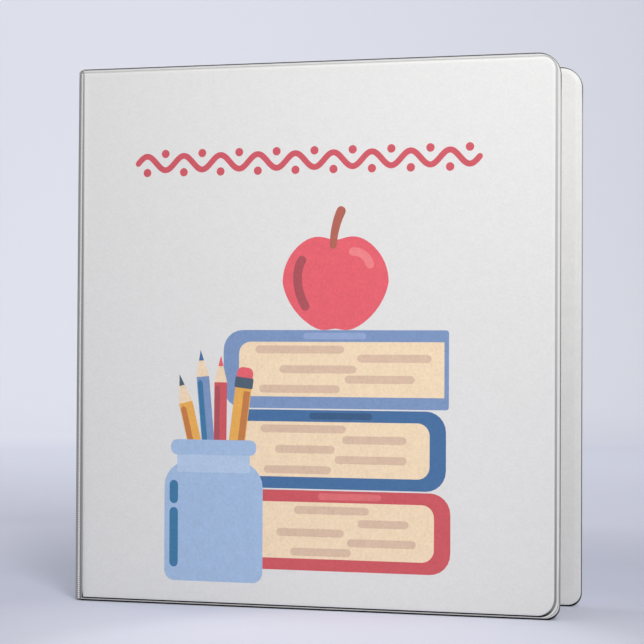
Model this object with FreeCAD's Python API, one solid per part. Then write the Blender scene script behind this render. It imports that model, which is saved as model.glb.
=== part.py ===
import FreeCAD, Part
import math
import os

# Three-ring binder standing on its bottom edges, all sizes in mm.
# +Z up, the spine at -X, the free edges of the covers at +X, the front cover
# faces -Y and the back cover faces +Y. The origin is the bottom centre of the box.
# "s" is the distance along a panel from its hinge axis, "u" the distance along +X
# from the outer face of the spine.

# covers and spine
HEIGHT = 298.5
COVER_EDGE_U = 276.0
SPINE_PITCH = 62.0
BOARD_T = 2.3
VINYL_T = 0.35
RIM_W = 2.6
CORNER_R = 12.7
FOOT_CORNER_R = 7.5
EDGE_SOFT_R = 1.0
BOARD_FROM_HINGE = 3.5
HINGE_BEAD_R = 0.9
STRIP_FROM_HINGE = 1.2

# inside pockets
POCKET_T = 0.25
POCKET_GAP = 0.3
POCKET_TOP_HINGE = 168.0
POCKET_TOP_EDGE = 118.0
POCKET_S0 = 18.0
POCKET_S1 = 256.0
POCKET_Z0 = 9.0
POCKET_WELD_W = 1.6
POCKET_CORNER_R = 6.0

# ring mechanism
PLATE_T = 0.8
PLATE_W = 22.0
PLATE_L = 272.0
HEM_W = 2.0
HEM_H = 2.35
PLATE_SIDE_H = 4.2
ARCH_R = 17.82
PLATE_END_CUT_L = 9.0
PLATE_END_CUT_W = 15.0
RING_SLOT_IN = 3.6
RING_SLOT_OUT = 9.8
RING_SLOT_W = 4.6

PIVOT_U = 6.2
PIVOT_Y = 9.55
BLADE_T = 1.0
BLADE_W = 9.4
BLADE_L = 258.0
BLADE_TILT = 6.5

RING_PITCH = 107.95
WIRE_D = 3.2
RING_R = 20.6
RING_CENTRE_U = 29.5
LEG_Y = 5.6
LEG_BEND_R = 2.6
LEG_FOOT_U = 4.3
LEG_HEAD_R = 2.3
TIP_GAP = 0.2
NUB_R = 0.75
NUB_L = 0.7
SOCKET_R = 1.1
SOCKET_DEPTH = 1.0

LEVER_Z = 132.0
LEVER_PIN_R = 1.0
LEVER_BORE_R = 1.05
LEVER_PIN_L = 21.6
LEVER_HUB_R = 2.1
LEVER_HUB_W = 14.0
LEVER_TILT = 12.3
HANDLE_LEAN = 10.0
HANDLE_L = 20.8
HANDLE_T = 1.4
HANDLE_W = 14.0
FINGER_L = 5.3
FINGER_T = 0.7
FINGER_W = 3.2
FINGER_GAP = 2.1

RIVET_Z = 54.0
RIVET_HEAD_R = 5.0
RIVET_HEAD_T = 0.9
RIVET_SHANK_R = 2.4
RIVET_POST_R = 3.0
RIVET_CAP_R = 3.5
BLADE_NOTCH_Y = 3.7
BLADE_NOTCH_Z = 4.0

PANEL_T = BOARD_T + 2 * VINYL_T
HALF_T = PANEL_T / 2
HINGE_Y = SPINE_PITCH / 2
MID_Z = HEIGHT / 2
SPINE_X = -(COVER_EDGE_U - RIVET_HEAD_T) / 2
HINGE_X = SPINE_X + HALF_T
COVER_S = COVER_EDGE_U - HALF_T
UP = FreeCAD.Vector(0, 0, 1)
ORIGIN = FreeCAD.Vector(0, 0, 0)

os.makedirs("parts", exist_ok=True)


def vec(x, y, z):
    return FreeCAD.Vector(x, y, z)


def export(node, shape):
    """Write one named sub-part; its points are in the row frame."""
    if not shape.isValid() or len(shape.Solids) != 1:
        raise ValueError(node + " is not one valid solid")
    shape.exportStep("parts/" + node + ".step")


def box(x0, x1, y0, y1, z0, z1):
    return Part.makeBox(x1 - x0, y1 - y0, z1 - z0, vec(x0, y0, z0))


def mirrored(shape):
    """The same piece on the other side of the plane y = 0."""
    return shape.mirror(ORIGIN, vec(0, 1, 0))


def joined(first, *others):
    return first.fuse(list(others)).removeSplitter()


# ---------------------------------------------------------------- panels
# A panel lies in its own frame: s along +X from the hinge axis, z up, the middle
# plane at y = 0 and its outer face at -Y.

def plate(s0, s1, z0, z1, y0, y1, corner, foot_corner):
    """Flat plate whose upper and lower corners at the far end s1 are rounded."""
    block = box(s0, s1, y0, y1, z0, z1)
    for z, radius in ((z1, corner), (z0, foot_corner)):
        if radius > 0:
            far = [e for e in block.Edges if abs(e.BoundBox.XMin - s1) < 1e-6 and e.BoundBox.XLength < 1e-6
                   and abs(e.BoundBox.ZMin - z) < 1e-6 and e.BoundBox.ZLength < 1e-6]
            block = block.makeFillet(radius, far)
    return block


def soften(block, face_y, radius):
    """Round the edges around the face of a plate that lies at y = face_y."""
    rim = [e for e in block.Edges if abs(e.BoundBox.YMin - face_y) < 1e-6
           and e.BoundBox.YLength < 1e-6]
    return block.makeFillet(radius, rim)


def inner_corners(corner, inset):
    """Both corner radii of a plate that lies inset from one with the given corner."""
    return (max(corner - inset, 0),) * 2


def skin(s_end, closed_end, corner, foot_corner, strip_from, strip_to):
    """Outer vinyl: a tray over the board's outer half, with a welded rim round it.

    closed_end is the distance that the tray stops short of s_end, strip_from and
    strip_to are the s limits of the thin welded border at mid thickness. The border's
    lower corner is the tighter foot_corner, so the rim is widest there.
    """
    s_wall = BOARD_FROM_HINGE - VINYL_T
    block = plate(s_wall, s_end - closed_end, RIM_W, HEIGHT - RIM_W, -HALF_T, 0,
                  *inner_corners(corner, RIM_W))
    block = soften(block, -HALF_T, EDGE_SOFT_R)
    hollow = plate(BOARD_FROM_HINGE, s_end - closed_end - VINYL_T,
                   RIM_W + VINYL_T, HEIGHT - RIM_W - VINYL_T,
                   -HALF_T + VINYL_T, 0, *inner_corners(corner, RIM_W + VINYL_T))
    hollow = soften(hollow, -HALF_T + VINYL_T, EDGE_SOFT_R - VINYL_T)
    border = plate(strip_from, strip_to, 0, HEIGHT, -VINYL_T, 0, corner, foot_corner)
    return joined(block, border).cut(hollow)


def board(s_end, closed_end, corner):
    """Chipboard core, its edges eased to fit inside the two skins."""
    half = BOARD_T / 2
    block = plate(BOARD_FROM_HINGE, s_end - closed_end - VINYL_T,
                  RIM_W + VINYL_T, HEIGHT - RIM_W - VINYL_T, -half, half,
                  *inner_corners(corner, RIM_W + VINYL_T))
    for face_y in (-half, half):
        block = soften(block, face_y, EDGE_SOFT_R - VINYL_T)
    return block


def pocket():
    """Thin sheet pocket welded to the inner face on three sides, its sloping top open."""
    top = HEIGHT - 20
    step = POCKET_GAP + POCKET_T
    weld = plate(POCKET_S0, POCKET_S1, POCKET_Z0, top, HALF_T, HALF_T + POCKET_T,
                 *inner_corners(POCKET_CORNER_R, 0))
    raised = plate(POCKET_S0 + POCKET_WELD_W, POCKET_S1 - POCKET_WELD_W,
                   POCKET_Z0 + POCKET_WELD_W, top + 5,
                   HALF_T, HALF_T + step, *inner_corners(POCKET_CORNER_R, POCKET_WELD_W))
    hollow = plate(POCKET_S0 + POCKET_WELD_W + POCKET_T, POCKET_S1 - POCKET_WELD_W - POCKET_T,
                   POCKET_Z0 + POCKET_WELD_W + POCKET_T, top + 10,
                   HALF_T, HALF_T + POCKET_GAP,
                   *inner_corners(POCKET_CORNER_R, POCKET_WELD_W + POCKET_T))
    sheet = joined(weld, raised).cut(hollow)
    keep = Part.Face(Part.makePolygon([
        vec(POCKET_S0 - 1, -5, 0), vec(POCKET_S1 + 1, -5, 0), vec(POCKET_S1 + 1, -5, POCKET_TOP_EDGE),
        vec(POCKET_S0 - 1, -5, POCKET_TOP_HINGE), vec(POCKET_S0 - 1, -5, 0)]))
    return sheet.common(keep.extrude(vec(0, 10, 0)))


def place_front(shape):
    moved = shape.copy()
    moved.translate(vec(HINGE_X, -HINGE_Y, 0))
    return moved


def flipped(shape):
    """A skin turned into the liner on the other face of the same panel."""
    return shape.mirror(ORIGIN, vec(0, 1, 0))


cover_board = place_front(board(COVER_S, RIM_W, CORNER_R))
cover_skin = skin(COVER_S, RIM_W, CORNER_R, FOOT_CORNER_R, STRIP_FROM_HINGE, COVER_S)
cover_liner = place_front(flipped(cover_skin))
cover_skin = place_front(cover_skin)
cover_pocket = place_front(pocket())
for side in ("front", "back"):
    for name, shape in (("board", cover_board), ("outer_skin", cover_skin),
                        ("inner_liner", cover_liner), ("pocket", cover_pocket)):
        export(side + "_" + name, shape if side == "front" else mirrored(shape))


# ---------------------------------------------------------------- spine
def place_spine(shape):
    """Stand a panel across the back of the binder, its outer face towards -X."""
    moved = shape.copy()
    moved.rotate(ORIGIN, UP, -90)
    moved.translate(vec(HINGE_X, HINGE_Y, 0))
    return moved


def rivet_holes(shape):
    """Open the panel for both rivets, which run along X."""
    for z in (MID_Z - RIVET_Z, MID_Z + RIVET_Z):
        hole = Part.makeCylinder(RIVET_SHANK_R, 20, vec(SPINE_X - 5, 0, z), vec(1, 0, 0))
        shape = shape.cut(hole)
    return shape


weld_reach = HINGE_BEAD_R + 0.2
spine_closed = BOARD_FROM_HINGE - VINYL_T
spine_skin = skin(SPINE_PITCH, spine_closed, 0, 0, weld_reach, SPINE_PITCH - weld_reach)
export("spine_board", rivet_holes(place_spine(board(SPINE_PITCH, spine_closed, 0))))
export("spine_outer_skin", rivet_holes(place_spine(spine_skin)))
export("spine_inner_liner", rivet_holes(place_spine(flipped(spine_skin))))

# The welded bead that each cover turns about, with the web that joins it to the spine.
bead = Part.makeCylinder(HINGE_BEAD_R, HEIGHT, vec(HINGE_X, -HINGE_Y, 0), UP)
web = box(HINGE_X - VINYL_T, HINGE_X + VINYL_T, -HINGE_Y, -HINGE_Y + weld_reach, 0, HEIGHT)
bead = joined(bead, web)
export("front_hinge_bead", bead)
export("back_hinge_bead", mirrored(bead))


# ---------------------------------------------------------------- ring plate
def at(u, y, z):
    return vec(SPINE_X + u, y, z)


def sweep_z(points_or_edges, z0, z1):
    """Solid of a closed outline in the plane z = z0, drawn out to z1."""
    face = Part.Face(Part.Wire(points_or_edges))
    return face.extrude(vec(0, 0, z1 - z0))


def arch(radius, half_w, u_base, z0, z1):
    """Bar of arched section: flat sides up from u_base and a round top."""
    centre_u = PANEL_T + PLATE_SIDE_H - math.sqrt(ARCH_R ** 2 - (PLATE_W / 2) ** 2)
    u_side = centre_u + math.sqrt(radius ** 2 - half_w ** 2)
    top = Part.Arc(at(u_side, -half_w, z0), at(centre_u + radius, 0, z0),
                   at(u_side, half_w, z0)).toShape()
    lines = [Part.makeLine(at(u_side, half_w, z0), at(u_base, half_w, z0)),
             Part.makeLine(at(u_base, half_w, z0), at(u_base, -half_w, z0)),
             Part.makeLine(at(u_base, -half_w, z0), at(u_side, -half_w, z0))]
    return sweep_z([top] + lines, z0, z1)


plate_z0 = MID_Z - PLATE_L / 2
plate_z1 = MID_Z + PLATE_L / 2
plate_half = PLATE_W / 2
ring_heights = [MID_Z - RING_PITCH, MID_Z, MID_Z + RING_PITCH]
rivet_heights = [MID_Z - RIVET_Z, MID_Z + RIVET_Z]
lever_heights = [MID_Z - LEVER_Z, MID_Z + LEVER_Z]

housing = arch(ARCH_R, plate_half, PANEL_T, plate_z0, plate_z1)
inside = arch(ARCH_R - PLATE_T, plate_half - PLATE_T, PANEL_T - 1, plate_z0 - 1, plate_z1 + 1)
housing = housing.cut(inside)
hem_top = PANEL_T + HEM_H
for y0 in (-plate_half, plate_half - HEM_W):
    hem = box(SPINE_X + PANEL_T, SPINE_X + hem_top, y0, y0 + HEM_W, plate_z0, plate_z1)
    housing = housing.fuse(hem)
housing = housing.removeSplitter()
for z in ring_heights:
    for y0 in (-RING_SLOT_OUT, RING_SLOT_IN):
        slot = box(SPINE_X + hem_top + 0.8, SPINE_X + 20, y0,
                   y0 + RING_SLOT_OUT - RING_SLOT_IN, z - RING_SLOT_W / 2, z + RING_SLOT_W / 2)
        ends = [e for e in slot.Edges if e.BoundBox.YLength < 1e-6 and e.BoundBox.ZLength < 1e-6]
        housing = housing.cut(slot.makeFillet(1.2, ends))
for z0, z1 in ((plate_z0 - 1, plate_z0 + PLATE_END_CUT_L), (plate_z1 - PLATE_END_CUT_L, plate_z1 + 1)):
    mouth = box(SPINE_X + PANEL_T - 1, SPINE_X + 20, -PLATE_END_CUT_W / 2, PLATE_END_CUT_W / 2, z0, z1)
    housing = housing.cut(mouth)
for z in rivet_heights:
    housing = housing.cut(Part.makeCylinder(RIVET_SHANK_R, 30, at(0, 0, z), vec(1, 0, 0)))
for z in lever_heights:
    hole = Part.makeCylinder(LEVER_PIN_R, 40, at(PIVOT_U, -20, z), vec(0, 1, 0))
    housing = housing.cut(hole)
export("ring_housing", housing)

# Rivets: domed head outside the spine, post under the arch, rolled cap on top of it.
arch_top_u = PANEL_T + PLATE_SIDE_H - math.sqrt(ARCH_R ** 2 - plate_half ** 2) + ARCH_R
arch_bar = arch(ARCH_R, plate_half, PANEL_T, plate_z0, plate_z1)
arch_void = arch(ARCH_R - PLATE_T, plate_half - PLATE_T, PANEL_T, plate_z0, plate_z1)
for label, z in (("bottom", rivet_heights[0]), ("top", rivet_heights[1])):
    head = Part.makeCylinder(RIVET_HEAD_R, RIVET_HEAD_T, at(-RIVET_HEAD_T, 0, z), vec(1, 0, 0))
    crown = [e for e in head.Edges if abs(e.BoundBox.XMax - (SPINE_X - RIVET_HEAD_T)) < 1e-6]
    head = head.makeFillet(RIVET_HEAD_T * 0.7, crown)
    shank = Part.makeCylinder(RIVET_SHANK_R, arch_top_u + 0.2, at(0, 0, z), vec(1, 0, 0))
    post = Part.makeCylinder(RIVET_POST_R, 20, at(PANEL_T, 0, z), vec(1, 0, 0)).common(arch_void)
    cap = Part.makeCylinder(RIVET_CAP_R, 1.2, at(arch_top_u - 0.5, 0, z), vec(1, 0, 0))
    cap_rim = [e for e in cap.Edges if abs(e.BoundBox.XMin - (SPINE_X + arch_top_u + 0.7)) < 1e-6]
    cap = cap.makeFillet(0.5, cap_rim).cut(arch_bar)
    well = Part.makeCylinder(1.5, 8, at(arch_top_u - 5, 0, z), vec(1, 0, 0))
    export(label + "_rivet", joined(head, shank, post, cap).cut(well))

for label, z in (("bottom", lever_heights[0]), ("top", lever_heights[1])):
    pin = Part.makeCylinder(LEVER_PIN_R, LEVER_PIN_L, at(PIVOT_U, -LEVER_PIN_L / 2, z), vec(0, 1, 0))
    export(label + "_lever_pin", pin)


# ---------------------------------------------------------------- blades and rings
def tilt(shape, degrees):
    """Turn a piece of the front side about the outer edge of its blade."""
    turned = shape.copy()
    turned.rotate(at(PIVOT_U, -PIVOT_Y, 0), UP, degrees)
    return turned


blade_half = BLADE_T / 2
blade_z0 = MID_Z - BLADE_L / 2
blade_z1 = MID_Z + BLADE_L / 2
blade = box(SPINE_X + PIVOT_U - blade_half, SPINE_X + PIVOT_U + blade_half,
            -PIVOT_Y, -PIVOT_Y + BLADE_W, blade_z0, blade_z1)
edge_roll = Part.makeCylinder(blade_half, BLADE_L, at(PIVOT_U, -PIVOT_Y, blade_z0), UP)
blade = joined(blade, edge_roll)
blade = tilt(blade, BLADE_TILT)
blade_plain = blade
for z in rivet_heights:
    notch = box(SPINE_X, SPINE_X + 20, -BLADE_NOTCH_Y, 1, z - BLADE_NOTCH_Z, z + BLADE_NOTCH_Z)
    blade = blade.cut(notch)


def wire_path(z):
    """Centre line of one front ring half, from its foot to its tip at the top."""
    foot = at(LEG_FOOT_U, -LEG_Y, z)
    bend_y = -(LEG_Y + LEG_BEND_R)
    reach = RING_R + LEG_BEND_R
    bend_u = RING_CENTRE_U - math.sqrt(reach ** 2 - bend_y ** 2)
    leg_top = at(bend_u, -LEG_Y, z)
    join_y = bend_y * RING_R / reach
    join_u = RING_CENTRE_U - (RING_CENTRE_U - bend_u) * RING_R / reach
    to_join = math.atan2(join_u - bend_u, join_y - bend_y)
    half = to_join / 2
    bend_mid = at(bend_u + LEG_BEND_R * math.sin(half), bend_y + LEG_BEND_R * math.cos(half), z)
    join = at(join_u, join_y, z)
    tip_y = -TIP_GAP / 2
    tip = at(RING_CENTRE_U + math.sqrt(RING_R ** 2 - tip_y ** 2), tip_y, z)
    side = at(RING_CENTRE_U, -RING_R, z)
    edges = [Part.makeLine(foot, leg_top), Part.Arc(leg_top, bend_mid, join).toShape(),
             Part.Arc(join, side, tip).toShape()]
    return Part.Wire(edges), foot


def ring_half(z, with_nub):
    path, foot = wire_path(z)
    section = Part.Wire(Part.makeCircle(WIRE_D / 2, foot, vec(1, 0, 0)))
    wire = path.makePipeShell([section], True, True)
    head = Part.makeCylinder(LEG_HEAD_R, 1.6, foot, vec(1, 0, 0)).cut(blade_plain)
    head = [s for s in head.Solids if s.BoundBox.XMin < SPINE_X + LEG_FOOT_U + 0.1][0]
    wire = joined(wire, head)
    top = at(RING_CENTRE_U + RING_R, 0, z)
    if with_nub:
        nub = Part.makeCylinder(NUB_R, NUB_L + 1, top + vec(0, -TIP_GAP / 2 - 1, 0), vec(0, 1, 0))
        return joined(wire, nub)
    socket = Part.makeCylinder(SOCKET_R, SOCKET_DEPTH + TIP_GAP,
                               top + vec(0, -TIP_GAP / 2 - SOCKET_DEPTH, 0), vec(0, 1, 0))
    return wire.cut(socket)


for z in ring_heights:
    blade = blade.cut(Part.makeCylinder(WIRE_D / 2, 12, at(0, -LEG_Y, z), vec(1, 0, 0)))
export("front_blade", blade)
export("rear_blade", mirrored(blade))
for label, z in zip(("bottom", "middle", "top"), ring_heights):
    export("front_ring_" + label, ring_half(z, True))
    export("rear_ring_" + label, mirrored(ring_half(z, False)))


# ---------------------------------------------------------------- levers
def lever():
    """Lever drawn about its pin at the origin: +X away from the spine, +Z outward."""
    half = LEVER_HUB_W / 2
    hub = Part.makeCylinder(LEVER_HUB_R, LEVER_HUB_W, vec(0, -half, 0), vec(0, 1, 0))
    stem = box(0, HANDLE_L, -HANDLE_W / 2, HANDLE_W / 2, -HANDLE_T / 2, HANDLE_T / 2)
    tops = [e for e in stem.Edges if abs(e.BoundBox.XMin - HANDLE_L) < 1e-6
            and e.BoundBox.XLength < 1e-6 and e.BoundBox.YLength < 1e-6]
    stem = stem.makeFillet(5.0, tops)
    waist_z = HANDLE_T / 2 + 1
    for sign in (-1, 1):
        bite = Part.makeCylinder(5.0, 2 * waist_z, vec(HANDLE_L * 0.42, sign * (HANDLE_W / 2 + 3.6),
                                                       -waist_z), UP)
        stem = stem.cut(bite)
    pad = Part.makeCylinder(1.2, 9.0, vec(HANDLE_L - 1.9, -4.5, HANDLE_T / 2 - 0.2), vec(0, 1, 0))
    handle = joined(stem, pad)
    handle.rotate(ORIGIN, vec(0, 1, 0), -HANDLE_LEAN)
    body = joined(hub, handle)
    for sign in (-1, 1):
        near = sign * FINGER_GAP / 2
        far = sign * (FINGER_GAP / 2 + FINGER_T)
        finger = box(min(near, far), max(near, far), -FINGER_W / 2, FINGER_W / 2, -FINGER_L, 0)
        finger.rotate(ORIGIN, vec(0, 1, 0), LEVER_TILT)
        body = joined(body, finger)
    bore = Part.makeCylinder(LEVER_BORE_R, LEVER_HUB_W + 2, vec(0, -half - 1, 0), vec(0, 1, 0))
    return body.cut(bore)


top_lever = lever()
top_lever.translate(at(PIVOT_U, 0, lever_heights[1]))
bottom_lever = lever().mirror(ORIGIN, vec(0, 0, 1))
bottom_lever.translate(at(PIVOT_U, 0, lever_heights[0]))
export("top_lever", top_lever)
export("bottom_lever", bottom_lever)
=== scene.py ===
"""Ring binder: soft vinyl covers, a plated ring mechanism and a printed picture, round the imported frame."""
import math

import bmesh
import bpy
from mathutils import Matrix, Vector
from mathutils.geometry import delaunay_2d_cdt


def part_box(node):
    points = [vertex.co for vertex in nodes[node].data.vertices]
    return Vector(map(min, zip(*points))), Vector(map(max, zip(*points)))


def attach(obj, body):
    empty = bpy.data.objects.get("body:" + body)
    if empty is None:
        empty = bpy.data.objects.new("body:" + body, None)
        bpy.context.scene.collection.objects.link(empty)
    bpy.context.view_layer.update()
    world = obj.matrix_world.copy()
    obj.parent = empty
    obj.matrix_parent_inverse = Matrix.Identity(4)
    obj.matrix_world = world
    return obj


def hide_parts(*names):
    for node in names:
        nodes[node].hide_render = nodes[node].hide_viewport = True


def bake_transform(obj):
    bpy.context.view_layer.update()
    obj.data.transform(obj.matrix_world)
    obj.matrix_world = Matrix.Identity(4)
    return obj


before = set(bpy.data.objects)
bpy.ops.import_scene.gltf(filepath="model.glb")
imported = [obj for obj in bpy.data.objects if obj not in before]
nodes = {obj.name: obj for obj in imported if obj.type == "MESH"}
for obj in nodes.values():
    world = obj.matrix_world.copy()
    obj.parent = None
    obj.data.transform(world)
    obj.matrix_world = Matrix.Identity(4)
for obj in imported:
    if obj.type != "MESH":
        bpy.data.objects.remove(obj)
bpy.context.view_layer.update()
MM = 0.001

# ---------------------------------------------------------------- places, most of them read from the frame
cover_low, cover_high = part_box("front_outer_skin")
spine_low, spine_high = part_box("spine_outer_skin")

HINGE_X = spine_high.x                                   # both hinge axes
HINGE_Y = -cover_high.y                                  # half the distance between the axes
HEIGHT = cover_high.z
COVER_S = cover_high.x - HINGE_X                         # hinge axis to free edge
HALF_T = cover_high.y - cover_low.y                      # half a panel's thickness
SPINE_X = spine_low.x
CORNER_R = 12.7 * MM                                     # upper corners of the covers' free edges
FOOT_CORNER_R = 7.5 * MM                                 # their lower corners
SPINE_TO_HINGE = (HINGE_X - SPINE_X) / MM                # from the spine's outer face to a hinge axis, mm


# ---------------------------------------------------------------- materials
def new_material(name):
    """An empty material with its nodes, links and shader."""
    material = bpy.data.materials.new(name)
    material.use_nodes = True
    tree = material.node_tree
    shader = tree.nodes["Principled BSDF"]
    return material, tree.nodes, tree.links, shader


def node(nodes_, kind, **values):
    """A new node; each value goes to the socket of that name, or else to the node's setting."""
    made = nodes_.new(kind)
    for key, value in values.items():
        if key in made.inputs:
            made.inputs[key].default_value = value
        else:
            setattr(made, key, value)
    return made


def object_coordinates(nodes_, links, scale=(1, 1, 1), location=(0, 0, 0)):
    coords = node(nodes_, "ShaderNodeTexCoord")
    mapping = node(nodes_, "ShaderNodeMapping")
    mapping.inputs["Location"].default_value = location
    mapping.inputs["Scale"].default_value = scale
    links.new(coords.outputs["Object"], mapping.inputs["Vector"])
    return mapping.outputs["Vector"]


def noise(nodes_, links, vector, scale, detail, rough=0.5):
    made = node(nodes_, "ShaderNodeTexNoise", Scale=scale, Detail=detail, Roughness=rough)
    links.new(vector, made.inputs["Vector"])
    return made.outputs["Fac"]


def scaled_sum(nodes_, links, value, factor, added):
    """value * factor + added, where added is a socket or a plain number."""
    made = node(nodes_, "ShaderNodeMath", operation="MULTIPLY_ADD")
    links.new(value, made.inputs[0])
    made.inputs[1].default_value = factor
    if isinstance(added, float):
        made.inputs[2].default_value = added
    else:
        links.new(added, made.inputs[2])
    return made.outputs["Value"]


def bumped(nodes_, links, height, strength, distance, under=None):
    """Normal of a surface raised by height, on top of a normal that is bumped already."""
    made = node(nodes_, "ShaderNodeBump", Strength=strength, Distance=distance)
    links.new(height, made.inputs["Height"])
    if under:
        links.new(under, made.inputs["Normal"])
    return made.outputs["Normal"]


def ramp(nodes_, links, source, stops, target):
    """Colours the target socket by the source value; stops are (value, colour)."""
    made = node(nodes_, "ShaderNodeValToRGB")
    elements = made.color_ramp.elements
    while len(elements) < len(stops):
        elements.new(0.5)
    for element, (place, colour) in zip(elements, stops):
        element.position = place
        element.color = (*colour, 1)
    links.new(source, made.inputs["Fac"])
    links.new(made.outputs["Color"], target)


def grey(value):
    return (value, value, value)


def toned(colour, factor):
    return tuple(min(1.0, c * factor) for c in colour)


def vinyl_material(name, colour, grain=1.0, rough=0.46, tone=0.03):
    """Embossed vinyl: a leather-like pebble with a finer grain, faintly mottled and gently wavy."""
    material, n, links, shader = new_material(name)
    vector = object_coordinates(n, links)
    pebble = node(n, "ShaderNodeTexVoronoi", Scale=1150.0, Randomness=1.0)
    pebble.feature = "SMOOTH_F1"
    pebble.inputs["Smoothness"].default_value = 0.6
    links.new(vector, pebble.inputs["Vector"])
    fine = noise(n, links, vector, 620.0, 4.0, 0.62)
    broad = noise(n, links, vector, 14.0, 2.0)
    mottle = noise(n, links, vector, 190.0, 3.0)

    height = scaled_sum(n, links, pebble.outputs["Distance"], 0.55, fine)
    waves = bumped(n, links, broad, 0.10, 0.0045)
    links.new(bumped(n, links, height, 0.30 * grain, 0.00022, waves), shader.inputs["Normal"])
    shade = scaled_sum(n, links, mottle, 0.4, fine)
    ramp(n, links, shade, [(0.50, toned(colour, 1 - tone)), (0.90, toned(colour, 1 + tone))],
         shader.inputs["Base Color"])
    ramp(n, links, height, [(0.3, grey(rough - 0.07)), (1.0, grey(rough + 0.09))], shader.inputs["Roughness"])
    shader.inputs["Specular IOR Level"].default_value = 0.42
    shader.inputs["IOR"].default_value = 1.47
    return material


def plated_material(name, colour, rough=0.16, brushed=(1, 1, 1)):
    """Plated steel: soft streaks, faint scuffs and small changes in gloss."""
    material, n, links, shader = new_material(name)
    streaks = noise(n, links, object_coordinates(n, links, brushed), 900.0, 5.0, 0.7)
    cloud = noise(n, links, object_coordinates(n, links), 45.0, 3.0)
    links.new(bumped(n, links, streaks, 0.16, 0.00006), shader.inputs["Normal"])
    ramp(n, links, cloud, [(0.3, toned(colour, 0.93)), (0.7, colour)], shader.inputs["Base Color"])
    ramp(n, links, streaks, [(0.25, grey(rough * 0.8)), (0.8, grey(rough * 1.6))], shader.inputs["Roughness"])
    shader.inputs["Metallic"].default_value = 1.0
    return material


def board_material():
    """Grey-brown chipboard with pressed fibres."""
    material, n, links, shader = new_material("chipboard")
    fibre = noise(n, links, object_coordinates(n, links, (1, 1, 0.3)), 420.0, 8.0, 0.75)
    ramp(n, links, fibre, [(0.3, (0.22, 0.17, 0.12)), (0.72, (0.44, 0.36, 0.27))],
         shader.inputs["Base Color"])
    links.new(bumped(n, links, fibre, 0.5, 0.0002), shader.inputs["Normal"])
    shader.inputs["Roughness"].default_value = 0.9
    return material


def pocket_material():
    """Thin milky sheet vinyl, smoother and glossier than the covers."""
    material, n, links, shader = new_material("pocket_vinyl")
    vector = object_coordinates(n, links)
    ripple = noise(n, links, vector, 22.0, 3.0)
    fine = noise(n, links, vector, 800.0, 3.0)
    waves = bumped(n, links, ripple, 0.22, 0.003)
    links.new(bumped(n, links, fine, 0.12, 0.0001, waves), shader.inputs["Normal"])
    ramp(n, links, ripple, [(0.3, grey(0.74)), (0.7, grey(0.80))], shader.inputs["Base Color"])
    ramp(n, links, fine, [(0.3, grey(0.24)), (0.8, grey(0.36))], shader.inputs["Roughness"])
    return material


def edge_shade_material(name, tones, rough):
    """Smooth vinyl round a panel's edge, dull from handling, with painted shade whose grey is set by height
    above the floor.

    tones are (height above the floor in mm, grey) of that painted shade, darkest at the foot as painted
    contact shadow.
    """
    material, n, links, shader = new_material(name)
    vector = object_coordinates(n, links)
    speck = noise(n, links, vector, 300.0, 3.0)
    axes = node(n, "ShaderNodeSeparateXYZ")
    links.new(vector, axes.inputs["Vector"])
    level = node(n, "ShaderNodeMapRange")
    level.inputs["From Max"].default_value = HEIGHT
    links.new(axes.outputs["Z"], level.inputs["Value"])
    ramp(n, links, level.outputs["Result"], [(z * MM / HEIGHT, grey(tone)) for z, tone in tones],
         shader.inputs["Base Color"])
    ramp(n, links, speck, [(0.3, grey(rough - 0.06)), (0.7, grey(rough + 0.08))], shader.inputs["Roughness"])
    shader.inputs["Specular IOR Level"].default_value = 0.12
    return material


vinyl = vinyl_material("cover_vinyl", (0.745, 0.745, 0.74))
weld_vinyl = vinyl_material("weld_vinyl", (0.74, 0.74, 0.735), grain=0.25, rough=0.36, tone=0.015)
# painted shade: the weld's cut edge is dark grey, near black at the foot as painted contact shadow, its grey
# changing with height up to the top
edge_shade_vinyl = edge_shade_material("edge_shade_vinyl", [
    (1.3, 0.003), (3.5, 0.12), (20, 0.13), (110, 0.17),
    (220, 0.34), (272, 0.34), (287, 0.10), (297, 0.085)], 0.5)
# painted crease shade in the groove, near black at the foot and lighter towards the top
groove_shade_vinyl = edge_shade_material("groove_shade_vinyl", [
    (2.1, 0.006), (3.2, 0.06), (6, 0.26), (60, 0.36), (150, 0.46), (294, 0.50), (296.5, 0.64)], 0.48)
# painted shade on the pressed line, dark near the foot
ridge_shade_vinyl = edge_shade_material("ridge_shade_vinyl", [(0, 0.10), (18, 0.16), (30, 0.72)], 0.42)
# painted shade on the padding's edge, near black along the foot
foot_shade_vinyl = edge_shade_material("foot_shade_vinyl", [(2.4, 0.006), (4.2, 0.40), (6, 0.74)], 0.46)
# painted shade: dark copies of the cover vinyl for the hinge's vinyl and, darker, its crease
hinge_shade_vinyl = vinyl_material("hinge_shade_vinyl", (0.30, 0.30, 0.295), grain=0.5, rough=0.42, tone=0.02)
crease_shade_vinyl = vinyl_material("crease_shade_vinyl", (0.22, 0.22, 0.218), grain=0.3, rough=0.48, tone=0.02)
# painted highlight: a lighter copy of the cover vinyl for the weld's beads
bead_highlight_vinyl = vinyl_material("bead_highlight_vinyl", (0.86, 0.86, 0.855), grain=0.1, rough=0.3, tone=0.01)
pocket_vinyl = pocket_material()
chipboard = board_material()
plate_steel = plated_material("plate_steel", (0.66, 0.66, 0.67), 0.20, (1, 1, 0.04))
blade_steel = plated_material("blade_steel", (0.46, 0.46, 0.47), 0.34, (1, 1, 0.04))
ring_steel = plated_material("ring_wire", (0.70, 0.70, 0.71), 0.12)
rivet_steel = plated_material("rivet_metal", (0.66, 0.66, 0.66), 0.20)
lever_steel = plated_material("lever_steel", (0.67, 0.67, 0.68), 0.18, (0.2, 1, 1))


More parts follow.
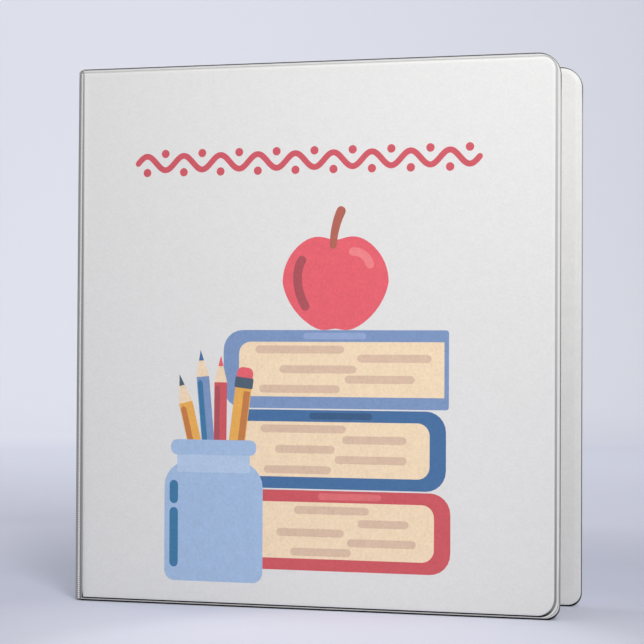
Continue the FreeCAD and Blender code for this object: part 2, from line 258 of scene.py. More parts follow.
# ---------------------------------------------------------------- mesh helpers
def make_object(name, bm, *materials, smooth_deg=40):
    """Turns a bmesh into an object with smooth shading that breaks at sharp edges."""
    bmesh.ops.recalc_face_normals(bm, faces=bm.faces)
    sharp = math.radians(smooth_deg)
    for face in bm.faces:
        face.smooth = True
    for edge in bm.edges:
        if len(edge.link_faces) == 2 and edge.calc_face_angle(0) > sharp:
            edge.smooth = False
    mesh = bpy.data.meshes.new(name)
    bm.to_mesh(mesh)
    bm.free()
    for material in materials:
        mesh.materials.append(material)
    made = bpy.data.objects.new(name, mesh)
    bpy.context.scene.collection.objects.link(made)
    return made


def on_front(s, z, n):
    """Point of the front cover: s from its hinge axis, z up, n outward from its middle plane."""
    return Vector((HINGE_X + s, -HINGE_Y - n, z))


def on_back(s, z, n):
    return Vector((HINGE_X + s, HINGE_Y + n, z))


def on_spine(s, z, n):
    """Point of the spine: s along it from the back hinge axis to the front one."""
    return Vector((HINGE_X - n, HINGE_Y - s, z))


EDGE_LINE = 0.46                                         # width of the weld's cut edge, painted dark as shade, mm
RIM_FOOT = 2.60                                          # width of the welded rim at the free edge, mm
# How much tighter the padded face's upper and lower corners are than lines parallel to the outline, mm.
HEAD_EASE, FOOT_EASE = 3.2, -4.5
# How wide the cut edge and then the rim come out along each edge, as shares of those widths.
EDGE_SHARES = {"side": (1.0, 1.0), "top": (1.5, 0.70), "bottom": (1.9, 0.34)}


def rim_inset(d, edge):
    """How far a line d mm inside the outline of the free edge is from the given edge."""
    line, rim = EDGE_SHARES[edge]
    in_line = min(d, EDGE_LINE)
    in_rim = max(0.0, min(d, RIM_FOOT) - EDGE_LINE)
    beyond = max(0.0, d - RIM_FOOT)
    return (in_line * line + in_rim * rim + beyond) * MM


def outline(length, d, rounded, steps=14):
    """Loop of (s, z) about d mm inside a panel's outline.

    rounded says whether the corners of its far edge are round, as on a cover, or square.
    """
    side, low, high = (rim_inset(d, edge) for edge in ("side", "bottom", "top"))
    if not rounded:
        return [(side, low), (length - side, low), (length - side, HEIGHT - high), (side, HEIGHT - high)]
    share = min(d, RIM_FOOT) / RIM_FOOT * MM
    foot = FOOT_CORNER_R - FOOT_EASE * share
    head = CORNER_R - HEAD_EASE * share
    corners = ((foot, foot, foot - low, -90), (head, HEIGHT - head, head - high, 0))
    points = [(side, low)]
    for radius, centre_z, reach_z, start in corners:
        for i in range(steps + 1):
            t = math.radians(start + 90 * i / steps)
            points.append((length - radius + (radius - side) * math.cos(t), centre_z + reach_z * math.sin(t)))
    points.append((side, HEIGHT - high))
    return points


FACE_N = 1.42                                            # a flat face's height above the middle plane, mm
# Cross-section of a panel's edge, from the rim's outer edge in to the flat face: distance in from
# the outline, then the height above the middle plane outside and inside, and the same line's
# distance from where the panel's vinyl starts beside the hinge, all in mm.
EDGE_PROFILE = [
    (0.00, 0.08, 0.08, 0.00), (0.06, 0.26, 0.26, 0.00), (0.18, 0.38, 0.40, 0.02), (0.46, 0.46, 0.55, 0.04),
    (0.70, 0.50, 0.64, 0.06), (0.90, 0.47, 0.70, 0.08), (1.00, 0.34, 0.73, 0.10), (1.10, 0.47, 0.76, 0.12),
    (1.30, 0.54, 0.80, 0.15), (1.52, 0.53, 0.85, 0.18), (1.76, 0.42, 0.90, 0.21), (1.98, 0.25, 0.94, 0.24),
    (2.18, 0.12, 0.97, 0.26), (2.38, 0.09, 1.00, 0.28), (2.56, 0.16, 1.03, 0.30), (2.70, 0.36, 1.05, 0.34),
    (2.82, 0.66, 1.08, 0.44), (2.98, 0.96, 1.11, 0.80), (3.22, 1.17, 1.18, 1.45), (3.60, 1.30, 1.26, 2.60),
    (4.20, 1.38, 1.34, 4.00), (5.20, FACE_N, FACE_N, 6.00)]
HINGE_START = 2.20 * MM                                  # hinge axis to a panel's own vinyl
SAME = 1e-9                                              # points closer than this are one

# Material slots of a panel, and the rows of its outer side's cross-section that take each.
FACE, WELD, EDGE, GROOVE, RIDGE, FOOT = range(6)
PANEL_MATERIALS = (vinyl, weld_vinyl, edge_shade_vinyl, groove_shade_vinyl, ridge_shade_vinyl, foot_shade_vinyl)
EDGE_ROWS = range(3)                                     # the cut edge of the weld, on both sides, painted dark as shade
OUTER_ROWS = {
    **dict.fromkeys(range(3, 11), WELD),                 # the smooth welded rim
    **dict.fromkeys((5, 6), RIDGE),                      # the fine line pressed along it, with painted shade towards the foot
    **dict.fromkeys(range(11, 17), GROOVE),              # the crease between the rim and the padded face, in painted crease shade
    17: FOOT}                                            # the padding's edge, with painted shade along the foot


def panel(name, place, length, hinge_ends, body, replaced):
    """Soft vinyl panel: both skins, with the welded rim along its edges, round the board.

    hinge_ends is 1 for a cover, whose far end is free, and 2 for the spine.
    """
    bm = bmesh.new()
    loops = {}
    for side in (1, -1):
        for k, (d, n_outer, n_inner, h) in enumerate(EDGE_PROFILE):
            n = side * (n_outer if side > 0 else n_inner) * MM
            reach = HINGE_START + h * MM
            near = rim_inset(d, "side") + SAME
            verts = []
            for s, z in outline(length, d, hinge_ends == 1):
                if s <= near:
                    s = reach
                elif hinge_ends == 2 and s >= length - near:
                    s = length - reach
                verts.append(bm.verts.new(place(s, z, n)))
            loops[side, k] = verts
    count = len(loops[1, 0])
    last = len(EDGE_PROFILE) - 1

    def bridge(a, b, material_index):
        for i in range(count):
            j = (i + 1) % count
            face = bm.faces.new((a[i], a[j], b[j], b[i]))
            face.material_index = material_index

    for side in (1, -1):
        for k in range(last):
            slot = OUTER_ROWS.get(k, FACE) if side > 0 else FACE
            if k in EDGE_ROWS:
                slot = EDGE
            bridge(loops[side, k], loops[side, k + 1], slot)
        bm.faces.new(loops[side, last])
    bridge(loops[1, 0], loops[-1, 0], EDGE)
    made = make_object(name, bm, *PANEL_MATERIALS, smooth_deg=50)
    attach(made, body)
    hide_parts(*replaced)
    return made


panel("front_cover_vinyl", on_front, COVER_S, 1, "front_cover",
      ("front_outer_skin", "front_inner_liner"))
panel("back_cover_vinyl", on_back, COVER_S, 1, "back_cover",
      ("back_outer_skin", "back_inner_liner"))
panel("spine_vinyl", on_spine, 2 * HINGE_Y, 2, "spine",
      ("spine_outer_skin", "spine_inner_liner"))


# ---------------------------------------------------------------- hinges
# Section of the outer surface of the flexible vinyl, from inside the cover's groove round to
# the spine's: (u from the spine's outer face, depth from the cover's outer face), in mm.
HINGE_SECTION = [
    (4.60, 1.26), (4.25, 1.25), (3.95, 1.24), (3.70, 1.20), (3.46, 1.08), (3.22, 0.96), (2.95, 0.92),
    (2.66, 0.92), (2.38, 0.93), (2.08, 0.96), (1.78, 1.02), (1.48, 1.10), (1.20, 1.22), (0.96, 1.40),
    (0.80, 1.64), (0.72, 1.92), (0.74, 2.24), (0.82, 2.60), (0.92, 3.00), (1.04, 3.40), (1.14, 3.80),
    (1.22, 4.20), (1.26, 4.60)]
CREASE_POINTS = 4                                        # its first stretches, in the crease beside the cover, which take the painted crease shade
HINGE_FILM = 0.50                                        # thickness of the flexible vinyl
AXIS_U = 1.5                                             # the hinge axis, from either outer face
HINGE_BULGE = 0.85                                       # how far the vinyl stands out at the foot
BULGE_END_U = 4.3                                        # the bulge fades out over 1 mm before this u
BULGE_END_DEPTH, BULGE_FADE = 4.2, 2.0                   # and over this fade before this depth
STRIP_FOOT, STRIP_HEAD = 0.2, 0.9                        # gaps below and above the flexible vinyl
STRIP_ROWS = 60
STRIP_ENDS = (0.3, 0.7, 1.2, 1.8)                        # rows near either end, where it is drawn in
END_DRAW = 0.6                                           # how far it is drawn in there, as a share

BEAD_PITCH = 1.13
BEAD_STEPS = 6                                           # rows to one bead
BEAD_SIDES = 6                                           # faces across it
BEAD_FOOT, BEAD_HEAD = 1.1, 1.8                          # gaps below and above the line of beads
BEAD_U, BEAD_DEPTH = 2.95, 0.92                          # middle of the line's base
BEAD_HALF_W, BEAD_RISE = 0.50, 0.50
BEAD_ROOT = 0.25                                         # how deep the beads' root goes below their base
ROOT_SHARE = 0.8                                         # width of the root, as a share of a bead's
WAIST_W, WAIST_H = 0.80, 0.30                            # width and rise between two beads, as shares


def offset_line(points, distance):
    """The line shifted sideways by distance, to the right of its direction."""
    shifted = []
    for i, (x, y) in enumerate(points):
        ax, ay = points[max(i - 1, 0)]
        bx, by = points[min(i + 1, len(points) - 1)]
        dx, dy = bx - ax, by - ay
        size = math.hypot(dx, dy)
        shifted.append((x + dy / size * distance, y - dx / size * distance))
    return shifted


def clamp(value):
    return min(1.0, max(0.0, value))


def hinge_place(mirror):
    """Place of a point of the hinge's vinyl, which bulges further past the spine towards the foot."""
    def place(u, depth, z):
        bulge = HINGE_BULGE * (1 - (z / HEIGHT) ** 2)
        u -= bulge * clamp(BULGE_END_U - u) * clamp((BULGE_END_DEPTH - depth) / BULGE_FADE)
        return Vector((SPINE_X + u * MM, mirror * (depth * MM - HINGE_Y - HALF_T), z))
    return place


def hinge_strip(name, mirror):
    """Flexible vinyl that wraps the corner between a cover and the spine, painted dark as shade, and darker
    still as painted crease shade beside the cover.
    """
    place = hinge_place(mirror)
    section = HINGE_SECTION + offset_line(HINGE_SECTION, HINGE_FILM)[::-1]
    z0, z1 = STRIP_FOOT, HEIGHT / MM - STRIP_HEAD
    levels = [z0, *(z0 + end for end in STRIP_ENDS),
              *(HEIGHT / MM * r / STRIP_ROWS for r in range(1, STRIP_ROWS)),
              *(z1 - end for end in reversed(STRIP_ENDS)), z1]
    bm = bmesh.new()
    grid = []
    for z in levels:
        near_end = max(0.0, 1 - min(z - z0, z1 - z) / STRIP_ENDS[-1])
        draw = 1 - END_DRAW * near_end ** 2
        grid.append([bm.verts.new(place(AXIS_U + (u - AXIS_U) * draw, AXIS_U + (d - AXIS_U) * draw, z * MM))
                     for u, d in section])
    count = len(section)
    for lower, upper in zip(grid, grid[1:]):
        for i in range(count):
            j = (i + 1) % count
            face = bm.faces.new((lower[i], lower[j], upper[j], upper[i]))
            # the crease beside the cover takes the darker painted crease shade, the rest painted shade
            face.material_index = int(i < CREASE_POINTS)
    bm.faces.new(grid[0])
    bm.faces.new(grid[-1])
    made = make_object(name, bm, hinge_shade_vinyl, crease_shade_vinyl, smooth_deg=60)
    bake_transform(made)
    return made


def weld_bead(name, mirror, replaced):
    """Knurled weld line along the hinge: a low ridge of small evenly spaced beads, painted lighter as a
    highlight, with painted shade between them.
    """
    place = hinge_place(mirror)
    beads = int((HEIGHT / MM - BEAD_HEAD - BEAD_FOOT) / BEAD_PITCH)
    root = BEAD_HALF_W * ROOT_SHARE
    bm = bmesh.new()
    grid = []
    for r in range(beads * BEAD_STEPS + 1):
        swell = 0.5 - 0.5 * math.cos(2 * math.pi * r / BEAD_STEPS)
        w = BEAD_HALF_W * (WAIST_W + (1 - WAIST_W) * swell)
        h = BEAD_RISE * (WAIST_H + (1 - WAIST_H) * swell)
        turns = [math.pi * i / BEAD_SIDES for i in range(BEAD_SIDES + 1)]
        section = [(BEAD_U - w * math.cos(t), BEAD_DEPTH - h * math.sin(t)) for t in turns]
        section += [(BEAD_U + root, BEAD_DEPTH + BEAD_ROOT), (BEAD_U - root, BEAD_DEPTH + BEAD_ROOT)]
        z = (BEAD_FOOT + r * BEAD_PITCH / BEAD_STEPS) * MM
        grid.append([bm.verts.new(place(u, depth, z)) for u, depth in section])
    for r, (lower, upper) in enumerate(zip(grid, grid[1:])):
        for i in range(len(lower)):
            j = (i + 1) % len(lower)
            face = bm.faces.new((lower[i], lower[j], upper[j], upper[i]))
            # the rows between two beads take painted shade; the beads take the painted highlight
            face.material_index = int(r % BEAD_STEPS in (0, BEAD_STEPS - 1))
    bm.faces.new(grid[0])
    bm.faces.new(grid[-1])
    made = make_object(name, bm, bead_highlight_vinyl, hinge_shade_vinyl, smooth_deg=70)
    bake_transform(made)
    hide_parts(replaced)
    return made


for side, mirror in (("front", 1), ("back", -1)):
    hinge_strip(side + "_hinge_strip", mirror)
    weld_bead(side + "_weld_bead", mirror, side + "_hinge_bead")


# ---------------------------------------------------------------- carried-over CAD nodes
def dress(name, material):
    materials = nodes[name].data.materials
    materials.clear()
    materials.append(material)


for side in ("front", "back"):
    dress(side + "_board", chipboard)
    dress(side + "_pocket", pocket_vinyl)
dress("spine_board", chipboard)
dress("ring_housing", plate_steel)
for end in ("top", "bottom"):
    dress(end + "_rivet", rivet_steel)
    dress(end + "_lever_pin", blade_steel)
    dress(end + "_lever", lever_steel)
for half in ("front", "rear"):
    dress(half + "_blade", blade_steel)
    for place_name in ("bottom", "middle", "top"):
        dress(half + "_ring_" + place_name, ring_steel)


# ---------------------------------------------------------------- printed picture
def srgb(r, g, b):
    """Linear colour of an 8-bit screen colour."""
    return tuple((c / 12.92 if c <= 0.04045 else ((c + 0.055) / 1.055) ** 2.4)
                 for c in (r / 255, g / 255, b / 255))


INKS = {
    "ink_coral": srgb(204, 88, 100), "ink_apple": srgb(229, 98, 110), "ink_apple_dark": srgb(172, 82, 91),
    "ink_apple_light": srgb(236, 130, 134), "ink_stem": srgb(178, 100, 86),
    "ink_sky": srgb(124, 150, 192), "ink_sky_light": srgb(146, 166, 206), "ink_blue": srgb(70, 112, 160),
    "ink_navy": srgb(58, 92, 132), "ink_red": srgb(206, 88, 96), "ink_red_light": srgb(222, 112, 116),
    "ink_page": srgb(242, 218, 186), "ink_line": srgb(219, 190, 166), "ink_jar": srgb(162, 188, 222),
    "ink_jar_dark": srgb(62, 121, 163), "ink_jar_light": srgb(178, 200, 228), "ink_gold": srgb(232, 172, 86),
    "ink_brown": srgb(196, 124, 70), "ink_slate": srgb(78, 96, 112), "ink_wood": srgb(238, 214, 184)}
inks = {name: vinyl_material(name, colour, grain=0.8, rough=0.44, tone=0.07)
        for name, colour in INKS.items()}
INK_T = 0.03                                             # how far the printed film stands off the face, mm


# Drawn points are (u, z) in mm: u from the spine's outer face along the cover, z up from the floor.
def disc(u, z, r, steps=40):
    return [(u + r * math.cos(2 * math.pi * i / steps), z + r * math.sin(2 * math.pi * i / steps))
            for i in range(steps)]


def slab(u0, z0, u1, z1, r, turn=0.0, steps=6):
    """Rounded rectangle, turned by turn degrees.

    r is one radius, or four, from the lower left corner anticlockwise.
    """
    radii = r if isinstance(r, tuple) else (r, r, r, r)
    corners = ((u0, z0, 180), (u1, z0, 270), (u1, z1, 0), (u0, z1, 90))
    signs = ((1, 1), (-1, 1), (-1, -1), (1, -1))
    points = []
    for (u, z, start), (su, sz), radius in zip(corners, signs, radii):
        cu, cz = u + su * radius, z + sz * radius
        for i in range(steps + 1):
            t = math.radians(start + 90 * i / steps)
            points.append((cu + radius * math.cos(t), cz + radius * math.sin(t)))
    if turn:
        mu, mz = (u0 + u1) / 2, (z0 + z1) / 2
        c, s = math.cos(math.radians(turn)), math.sin(math.radians(turn))
        points = [(mu + (u - mu) * c - (z - mz) * s, mz + (u - mu) * s + (z - mz) * c) for u, z in points]
    return points


def stroke(points, width, taper=0.0, steps=6):
    """Round-ended stroke along a line of points; taper narrows its far end, or widens it if negative."""
    left, right = [], []
    total = len(points) - 1
    for i, (u, z) in enumerate(points):
        au, az = points[max(i - 1, 0)]
        bu, bz = points[min(i + 1, total)]
        du, dz = bu - au, bz - az
        size = math.hypot(du, dz)
        half = width / 2 * (1 - taper * i / total)
        left.append((u - dz / size * half, z + du / size * half))
        right.append((u + dz / size * half, z - du / size * half))

    def cap(centre, start, half):
        return [(centre[0] + half * math.cos(start - math.pi * i / steps),
                 centre[1] + half * math.sin(start - math.pi * i / steps)) for i in range(1, steps)]

    end_turn = math.atan2(left[-1][1] - points[-1][1], left[-1][0] - points[-1][0])
    start_turn = math.atan2(right[0][1] - points[0][1], right[0][0] - points[0][0])
    return (left + cap(points[-1], end_turn, width / 2 * (1 - taper)) + right[::-1]
            + cap(points[0], start_turn, width / 2))


def bezier(a, b, c, d, steps=16):
    points = []
    for i in range(steps + 1):
        t = i / steps
        pulls = ((a, (1 - t) ** 3), (b, 3 * t * (1 - t) ** 2), (c, 3 * t * t * (1 - t)), (d, t ** 3))
        points.append(tuple(sum(point[k] * pull for point, pull in pulls) for k in (0, 1)))
    return points


def printed(name, shapes):
    """A printed picture: flat shapes (outline, ink) laid one over the next, as one film on the front cover.

    The outlines are cut into triangles together, and each triangle takes the ink of the topmost shape.
    """
    corners, rings = [], []
    for points, _ in shapes:
        ring = list(range(len(corners), len(corners) + len(points)))
        area = sum(a[0] * b[1] - b[0] * a[1] for a, b in zip(points, points[1:] + points[:1]))
        rings.append(ring if area > 0 else ring[::-1])
        corners += [Vector(point) for point in points]
    verts, _, faces, _, _, sources = delaunay_2d_cdt(corners, [], rings, 1, 1e-4)
    used = sorted({ink for _, ink in shapes})
    bm = bmesh.new()
    top = (FACE_N + INK_T) * MM
    film = [bm.verts.new(on_front((v.x - SPINE_TO_HINGE) * MM, v.y * MM, top)) for v in verts]
    for face, source in zip(faces, sources):
        if not source:
            continue
        made = bm.faces.new([film[i] for i in face])
        made.material_index = used.index(shapes[max(source)][1])
    sunk = Vector((0, 2 * INK_T * MM, 0))
    foot = {}
    for edge in [edge for edge in bm.edges if edge.is_boundary]:
        for vert in edge.verts:
            if vert not in foot:
                foot[vert] = bm.verts.new(vert.co + sunk)
        a, b = edge.verts
        wall = bm.faces.new((a, b, foot[b], foot[a]))
        wall.material_index = edge.link_faces[0].material_index
    for vert in [vert for vert in bm.verts if not vert.link_faces]:
        bm.verts.remove(vert)
    made = make_object(name, bm, *[inks[ink] for ink in used], smooth_deg=30)
    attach(made, "front_cover")
    return made


def wavy_band():
    """Plain decorative band: a soft wave with a dot over each trough and under each crest."""
    u0, u1, z, amplitude, waves = 37.5, 232.5, 244.5, 3.9, 9
    width, dot_r, dot_lift, steps = 3.3, 2.3, 5.2, 180
    line = []
    for i in range(steps + 1):
        t = i / steps
        line.append((u0 + (u1 - u0) * t, z + amplitude * math.sin(2 * math.pi * waves * t)))
    shapes = [(stroke(line, width), "ink_coral")]
    for k in range(2 * waves):
        u = u0 + (u1 - u0) * (k + 0.5) / (2 * waves)
        shapes.append((disc(u, z + (dot_lift if k % 2 else -dot_lift), dot_r), "ink_coral"))
    return shapes


def apple():
    """Round apple from one formula, with a stem, a shaded left side and a gleam on its right."""
    cu, cz, w, h, steps = 152.5, 178.0, 28.6, 29.0, 72   # middle, half width, half height
    body = []                                            # hollow above and below, narrower lower down
    for i in range(steps):
        t = 2 * math.pi * i / steps
        dip = 0.16 * math.exp(-((t - math.pi / 2) / 0.34) ** 2)
        base = 0.08 * math.exp(-((t - 3 * math.pi / 2) / 0.26) ** 2)
        r = 1 - dip - base + 0.05 * math.cos(2 * t)
        narrowing = 1 - 0.16 * max(0.0, -math.sin(t))
        body.append((cu + w * r * narrowing * math.cos(t), cz + h * r * math.sin(t)))
    shade = bezier((cu - 19, cz + 12), (cu - 23, cz + 6), (cu - 22, cz - 5), (cu - 17, cz - 13))
    gleam = bezier((cu + 10, cz + 16.5), (cu + 14, cz + 16.5), (cu + 18, cz + 14.5), (cu + 19.5, cz + 9.5))
    stem = bezier((cu - 1.2, cz + 20), (cu - 0.9, cz + 26), (cu + 0.2, cz + 32), (cu + 3.2, cz + 38.5))
    return [(body, "ink_apple"), (stroke(shade, 5.0), "ink_apple_dark"),
            (stroke(gleam, 4.6), "ink_apple_light"), (stroke(stem, 3.9, -0.35), "ink_stem")]


# A drawn book, in mm: its boards, back and the pages' inset, then the gleam and the ruled lines.
BOOK_BOARD, BOOK_BACK, BOOK_INSET = 6.4, 9.0, 2.5
GLEAM_L, GLEAM_W, RULED_W = 32.0, 3.6, 4.3
BOARD_R, PAGE_R = 1.6, 0.3                               # corners on the open side
BACK_SHARE = 0.26                                        # the back's corner radius, as a share of the height
PAGE_SHARE = 0.6                                         # and the pages' there, as a share of the back's


def book(u0, z0, u1, z1, cover_ink, gleam_ink, spine_left, lines):
    """Closed book seen from its foot: two boards, a round back and ruled page edges.

    lines are (start, level, length) as shares of the page block's width and height.
    """
    r = (z1 - z0) * BACK_SHARE
    back, pages = (BOARD_R, r, r, BOARD_R), (PAGE_R, r * PAGE_SHARE, r * PAGE_SHARE, PAGE_R)
    a0, a1 = u0 + BOOK_INSET, u1 - BOOK_BACK
    if spine_left:
        back, pages = (r, BOARD_R, BOARD_R, r), (r * PAGE_SHARE, PAGE_R, PAGE_R, r * PAGE_SHARE)
        a0, a1 = u0 + BOOK_BACK, u1 - BOOK_INSET
    low, high = z0 + BOOK_BOARD, z1 - BOOK_BOARD
    middle, gleam_z = (u0 + u1) / 2, z1 - BOOK_BOARD / 2
    gleam = [(middle + share * GLEAM_L, gleam_z) for share in (-0.5, 0, 0.5)]
    shapes = [(slab(u0, z0, u1, z1, back), cover_ink), (slab(a0, low, a1, high, pages), "ink_page"),
              (stroke(gleam, GLEAM_W), gleam_ink)]
    for at, level, size in lines:
        z = low + (high - low) * level
        start = a0 + (a1 - a0) * at
        shapes.append((stroke([(start, z), (start + (a1 - a0) * size, z)], RULED_W), "ink_line"))
    return shapes


def along(foot, tip):
    """Length from foot to tip, and a function from (distance along, distance left) to a point."""
    du, dz = tip[0] - foot[0], tip[1] - foot[1]
    size = math.hypot(du, dz)
    du, dz = du / size, dz / size
    return size, lambda a, b: (foot[0] + du * a - dz * b, foot[1] + dz * a + du * b)


CONE_L, LEAD_L, LEAD_W = 2.0, 0.8, 0.4                   # a drawn pencil's point, as shares of its width
FLAT_IN, FLAT_OUT = 0.1, 0.9                             # its shaded flat, as shares of half its width


def pencil(foot, tip, width, ink, shade, point):
    """Sharpened pencil from its foot to its tip, with one shaded flat and a cone of bare wood."""
    size, at = along(foot, tip)
    neck, tip_at, half = size - CONE_L * width, size - LEAD_L * width, width / 2
    body = [at(0, half), at(0, -half), at(neck, -half), at(neck, half)]
    flat = [at(0, half * FLAT_OUT), at(0, half * FLAT_IN), at(neck - 3, half * FLAT_IN),
            at(neck - 1.5, half / 2), at(neck - 3, half * FLAT_OUT)]
    cone = [at(neck, half), at(neck, -half), at(tip_at, -half * LEAD_W), at(tip_at, half * LEAD_W)]
    lead = [at(tip_at, half * LEAD_W), at(tip_at, -half * LEAD_W), at(size, 0)]
    return [(body, ink), (flat, shade), (cone, "ink_wood"), (lead, point)]


def capped_pencil(foot, tip, width):
    """Pencil stood on its point, so that the ferrule and eraser show."""
    size, at = along(foot, tip)
    eraser, ferrule_start, ferrule_end = size - 8, size - 11.5, size - 5.6
    turn = math.degrees(math.atan2(foot[0] - tip[0], tip[1] - foot[1]))
    half = width / 2

    def block(start, end, extra, radii):
        mu, mz = at((start + end) / 2, 0)
        reach = (end - start) / 2
        return slab(mu - half - extra, mz - reach, mu + half + extra, mz + reach, radii, turn)

    body = [at(0, half), at(0, -half), at(size - 10, -half), at(size - 10, half)]
    flat = [at(0, -half * FLAT_IN), at(0, -half * FLAT_OUT),
            at(size - 13, -half * FLAT_OUT), at(size - 13, -half * FLAT_IN)]
    return [(body, "ink_gold"), (flat, "ink_brown"),
            (block(eraser, size, 0, (0.5, 0.5, 3.4, 3.4)), "ink_apple"),
            (block(ferrule_start, ferrule_end, 0.6, 0.9), "ink_slate")]


def jar():
    """Round-shouldered jar with a lip, a pale neck and a shaded left side."""
    u0, u1, z0, z1 = 54.0, 111.5, 13.5, 91.5
    neck, lip, shade_u, shade_w = 7.5, 3.8, u0 + 5.5, 5.0
    return [(slab(u0, z0, u1, z1 - 12, (6, 6, 14, 14)), "ink_jar"),
            (slab(u0 + neck, z1 - 18, u1 - neck, z1 - 5, 0.6), "ink_jar_light"),
            (slab(u0 + lip, z1 - 8.4, u1 - lip, z1, 3.6), "ink_jar"),
            (stroke([(shade_u, z0 + 10), (shade_u, z0 + 24), (shade_u, z0 + 38)], shade_w), "ink_jar_dark"),
            (stroke([(shade_u, z0 + 45), (shade_u, z0 + 53)], shade_w), "ink_jar_dark")]


def still_life():
    """Three closed books under an apple, and a jar of pencils in front of them."""
    shapes = apple()
    shapes += book(105, 21.5, 217, 65.0, "ink_red", "ink_red_light", False, (
        (0.24, 0.86, 0.38), (0.60, 0.64, 0.24), (0.14, 0.46, 0.34), (0.54, 0.30, 0.34), (0.22, 0.12, 0.30)))
    shapes += book(97, 65.8, 214.5, 108.6, "ink_blue", "ink_navy", False, (
        (0.12, 0.87, 0.42), (0.56, 0.68, 0.30), (0.20, 0.50, 0.28), (0.52, 0.32, 0.34), (0.14, 0.13, 0.32)))
    shapes += book(88.5, 109.4, 216, 152.0, "ink_sky", "ink_sky_light", True, (
        (0.10, 0.86, 0.40), (0.60, 0.70, 0.32), (0.22, 0.50, 0.34), (0.54, 0.32, 0.30), (0.12, 0.14, 0.36)))
    shapes += pencil((74.0, 80), (62.6, 127.5), 8.0, "ink_gold", "ink_brown", "ink_slate")
    shapes += pencil((80.5, 80), (75.0, 141), 7.4, "ink_sky", "ink_jar_dark", "ink_blue")
    shapes += pencil((86.5, 80), (87.0, 138), 7.4, "ink_red", "ink_apple_dark", "ink_apple")
    shapes += capped_pencil((95.0, 80), (101.5, 131.5), 9.4)
    return shapes + jar()


printed("printed_band", wavy_band())
printed("printed_picture", still_life())

# ---------------------------------------------------------------- floor and backdrop
FLOOR_SIZE = 30.0
WALL_Y, WALL_TOP, SWEEP_R, SWEEP_STEPS = 2.9, 4.0, 0.9, 16   # the wall, and the curve that leads up to it
TONE_CENTRE = (0.06, -0.20)                              # x, y that the floor's painted light and shadow are centred on
TONE_STRETCH = (1.2, 1, 0.5)
TONE_START, TONE_END = 0.05, 2.55                        # distances at the ends of the row of tones


def stage_material():
    """Pale bluish paper sweep with painted light: a painted pool of light under the binder's front, painted
    shadow just behind it, faintly uneven.
    """
    material, n, links, shader = new_material("stage_paper_painted_light")
    shift = (-TONE_CENTRE[0] * TONE_STRETCH[0], -TONE_CENTRE[1] * TONE_STRETCH[1], 0)
    vector = object_coordinates(n, links, TONE_STRETCH, shift)
    mottle = noise(n, links, vector, 1.2, 3.0)
    reach = node(n, "ShaderNodeVectorMath", operation="LENGTH")
    links.new(vector, reach.inputs[0])
    depth = scaled_sum(n, links, mottle, 0.10, reach.outputs["Value"])
    place = node(n, "ShaderNodeMapRange")
    place.inputs["From Min"].default_value = TONE_START
    place.inputs["From Max"].default_value = TONE_END
    links.new(depth, place.inputs["Value"])
    # painted light and shadow: bright under the binder's front, a dull band just behind it, paler again
    # further out
    ramp(n, links, place.outputs["Result"], [
        (0.045, (0.75, 0.77, 0.90)), (0.06, (0.72, 0.74, 0.865)), (0.077, (0.62, 0.64, 0.755)),
        (0.10, (0.565, 0.585, 0.70)), (0.13, (0.51, 0.53, 0.645)), (0.19, (0.50, 0.52, 0.63)),
        (0.24, (0.55, 0.57, 0.685)), (0.31, (0.62, 0.64, 0.755)), (0.48, (0.575, 0.593, 0.70)),
        (0.82, (0.545, 0.56, 0.65)), (1.0, (0.60, 0.613, 0.675))], shader.inputs["Base Color"])
    shader.inputs["Roughness"].default_value = 0.85
    shader.inputs["Specular IOR Level"].default_value = 0.15
    return material


def sweep():
    """Floor that curves up into a wall well behind the binder."""
    bm = bmesh.new()
    line = [(-FLOOR_SIZE / 2, 0.0), (WALL_Y - SWEEP_R, 0.0)]
    for i in range(1, SWEEP_STEPS + 1):
        t = math.pi / 2 * i / SWEEP_STEPS
        line.append((WALL_Y - SWEEP_R + SWEEP_R * math.sin(t), SWEEP_R - SWEEP_R * math.cos(t)))
    line.append((WALL_Y, WALL_TOP))
    for sign in (-1, 1):
        for y, z in line:
            bm.verts.new((sign * FLOOR_SIZE / 2, y, z))
    bm.verts.ensure_lookup_table()
    count = len(line)
    for i in range(count - 1):
        bm.faces.new((bm.verts[i], bm.verts[i + 1], bm.verts[count + i + 1], bm.verts[count + i]))
    return make_object("stage_sweep", bm, stage_material())


stage = sweep()

# ---------------------------------------------------------------- light
BACKDROP = (0.70, 0.72, 0.79, 1)                         # what shows beyond the sweep
SKY_LEVEL, SKY_RISE = 0.22, 0.75                         # strength at the horizon, and its rise overhead

world = bpy.data.worlds.new("studio")
bpy.context.scene.world = world
world.use_nodes = True
world_nodes, world_links = world.node_tree.nodes, world.node_tree.links
backdrop = node(world_nodes, "ShaderNodeBackground", Color=BACKDROP, Strength=1.0)
ambient = world_nodes["Background"]
ambient.inputs["Color"].default_value = (1.0, 0.995, 0.975, 1)
direction = node(world_nodes, "ShaderNodeTexCoord")
heading = node(world_nodes, "ShaderNodeSeparateXYZ")
steepness = node(world_nodes, "ShaderNodeMath", operation="POWER")
steepness.inputs[1].default_value = 2.0
world_links.new(direction.outputs["Generated"], heading.inputs["Vector"])
world_links.new(heading.outputs["Z"], steepness.inputs[0])
sky = scaled_sum(world_nodes, world_links, steepness.outputs["Value"], SKY_RISE, SKY_LEVEL)
world_links.new(sky, ambient.inputs["Strength"])
rays = node(world_nodes, "ShaderNodeLightPath")
chosen = node(world_nodes, "ShaderNodeMixShader")
world_links.new(rays.outputs["Is Camera Ray"], chosen.inputs["Fac"])
world_links.new(ambient.outputs["Background"], chosen.inputs[1])
world_links.new(backdrop.outputs["Background"], chosen.inputs[2])
world_links.new(chosen.outputs["Shader"], world_nodes["World Output"].inputs["Surface"])


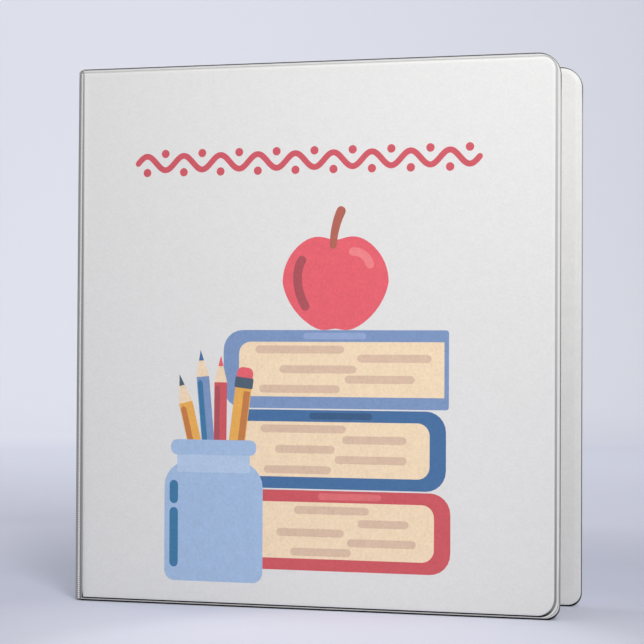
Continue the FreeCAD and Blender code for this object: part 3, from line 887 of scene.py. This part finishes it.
def aimed(name, data, place, aim):
    made = bpy.data.objects.new(name, data)
    made.location = place
    made.rotation_euler = (Vector(aim) - Vector(place)).to_track_quat("-Z", "Y").to_euler()
    bpy.context.scene.collection.objects.link(made)


def area_light(name, place, aim, size, watts, colour=(1, 1, 1)):
    data = bpy.data.lights.new(name, "AREA")
    data.shape = "RECTANGLE"
    data.size, data.size_y = size
    data.energy = watts
    data.color = colour
    aimed(name, data, place, aim)


def spot_light(name, place, aim, radius, cone_deg, watts, colour=(1, 1, 1)):
    data = bpy.data.lights.new(name, "SPOT")
    data.shadow_soft_size = radius
    data.spot_size = math.radians(cone_deg)
    data.spot_blend = 1.0
    data.energy = watts
    data.color = colour
    aimed(name, data, place, aim)


spot_light("key", (0.48, -0.92, 0.76), (0.05, -0.03, 0.30),
           radius=0.17, cone_deg=50, watts=42, colour=(1.0, 0.985, 0.955))
area_light("fill", (-1.4, -1.7, 0.9), (0, 0, 0.12), size=(1.4, 1.4), watts=0.6, colour=(1.0, 0.99, 0.97))
area_light("wall", (-1.3, 1.0, 1.7), (-1.1, 2.9, 1.2), size=(3.0, 0.6), watts=45)
area_light("floor", (-0.95, 0.2, 1.0), (-0.5, 0.15, 0.0), size=(0.5, 0.5), watts=3.0)

# ---------------------------------------------------------------- camera
LENS = 119.36                                            # mm, on a 36 mm wide sensor
CAMERA_PLACE = Vector((0.35296, -1.1374, 0.1444))
YAW, PITCH, ROLL = math.radians(17.36), math.radians(0.594), math.radians(0.22)

camera_data = bpy.data.cameras.new("camera")
camera_data.sensor_width = 36.0
camera_data.lens = LENS
camera_data.clip_start = 0.05
camera_data.clip_end = 30
camera = bpy.data.objects.new("camera", camera_data)
bpy.context.scene.collection.objects.link(camera)
bpy.context.scene.camera = camera
forward = Vector((-math.sin(YAW) * math.cos(PITCH), math.cos(YAW) * math.cos(PITCH), math.sin(PITCH)))
right = forward.cross(Vector((0, 0, 1))).normalized()
up = right.cross(forward)
right_rolled = right * math.cos(ROLL) + up * math.sin(ROLL)
up_rolled = up * math.cos(ROLL) - right * math.sin(ROLL)
turned = Matrix((right_rolled, up_rolled, -forward)).transposed().to_4x4()
camera.matrix_world = Matrix.Translation(CAMERA_PLACE) @ turned

view = bpy.context.scene.view_settings
view.view_transform = "Standard"
view.look = "None"
view.exposure = 0.0
view.gamma = 1.0
